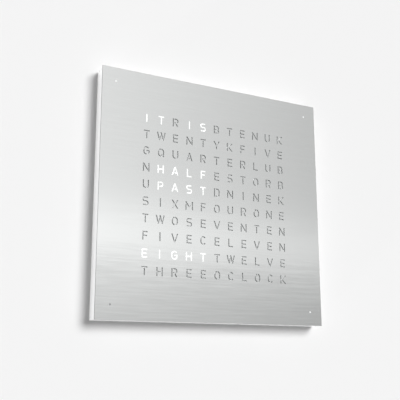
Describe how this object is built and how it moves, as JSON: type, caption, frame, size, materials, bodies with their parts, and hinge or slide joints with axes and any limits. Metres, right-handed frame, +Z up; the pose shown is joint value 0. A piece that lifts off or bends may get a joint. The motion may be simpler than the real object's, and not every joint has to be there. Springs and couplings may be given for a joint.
{
  "type": "word clock",
  "caption": "Square wall clock whose brushed steel front has cut-out letters lit from behind to spell the time.",
  "frame": {"origin": "centre of the flat back, where the clock meets the wall", "axes": "+X to the right seen from the front, +Y into the wall, +Z up; the steel front looks along -Y"},
  "size_m": [0.45, 0.032, 0.45],
  "materials": {
    "brushed_front_steel": "stainless sheet, fine level brushing, sharp cut edges",
    "zinc_steel": "zinc plated, fine turned marks",
    "nickel_magnet": "nickel plated, satin",
    "white_lacquer": "white satin lacquer over a moulded body",
    "rear_sheet": "sheet, powder coated in a pale grey",
    "opal_acrylic": "opal acrylic, faintly grey, matt on both sides",
    "white_crate": "white moulded plastic, matt",
    "white_board": "glass epoxy under a white solder mask",
    "green_board": "glass epoxy under a green solder mask",
    "lamp_body": "white package with a pale yellow lens",
    "black_chip": "black moulding, fine matt",
    "socket_plastic": "cream nylon",
    "ribbon_jacket": "grey flexible jacket",
    "button_plastic": "grey moulded plastic, satin",
    "plunger_plastic": "dark nylon",
    "crystal_can": "drawn nickel can",
    "capacitor_can": "drawn aluminium can",
    "cell_steel": "pressed stainless, bright",
    "contact_metal": "plated contact"
  },
  "bodies": {
    "case": {"housing_magnets": "nickel_magnet", "housing_frame": "white_lacquer", "rear_panel": "rear_sheet", "rear_panel_screws": "zinc_steel", "hanger_plate_left": "zinc_steel", "hanger_plate_right": "zinc_steel", "hanger_rivets": "zinc_steel", "led_board": "white_board", "led_board_spacers": "zinc_steel", "led_board_screws": "zinc_steel", "letter_leds": "lamp_body", "minute_leds": "lamp_body", "light_crate": "white_crate", "minute_light_tubes": "white_crate", "diffuser_sheet": "opal_acrylic", "led_driver_chips": "black_chip", "controller_board": "green_board", "controller_board_spacers": "zinc_steel", "controller_board_screws": "zinc_steel", "controller_chip": "black_chip", "clock_crystal": "crystal_can", "voltage_regulator": "black_chip", "smoothing_capacitor": "capacitor_can", "coin_cell_holder": "black_chip", "coin_cell": "cell_steel", "controller_socket": "socket_plastic", "led_board_socket": "socket_plastic", "ribbon_cable": "ribbon_jacket", "power_jack": "black_chip", "power_jack_pin": "contact_metal", "hour_switch": "black_chip", "minute_switch": "black_chip", "brightness_switch": "black_chip"},
    "cover": {"front_cover": "brushed_front_steel", "cover_locating_pins": "zinc_steel", "cover_magnets": "nickel_magnet"},
    "hour_push": {"hour_button": "button_plastic", "hour_switch_plunger": "plunger_plastic"},
    "minute_push": {"minute_button": "button_plastic", "minute_switch_plunger": "plunger_plastic"},
    "brightness_push": {"brightness_button": "button_plastic", "brightness_switch_plunger": "plunger_plastic"}
  },
  "joints": [
    {"name": "cover_release", "type": "slide", "parent": "case", "child": "cover", "axis": [0, -1, 0], "range_m": [0, 0.03]},
    {"name": "hour_press", "type": "slide", "parent": "case", "child": "hour_push", "axis": [0, 0, 1], "range_m": [0, 0.0008], "stiffness_N_per_m": 1200},
    {"name": "minute_press", "type": "slide", "parent": "case", "child": "minute_push", "axis": [0, 0, 1], "range_m": [0, 0.0008], "stiffness_N_per_m": 1200},
    {"name": "brightness_press", "type": "slide", "parent": "case", "child": "brightness_push", "axis": [0, 0, 1], "range_m": [0, 0.0008], "stiffness_N_per_m": 1200}
  ]
}
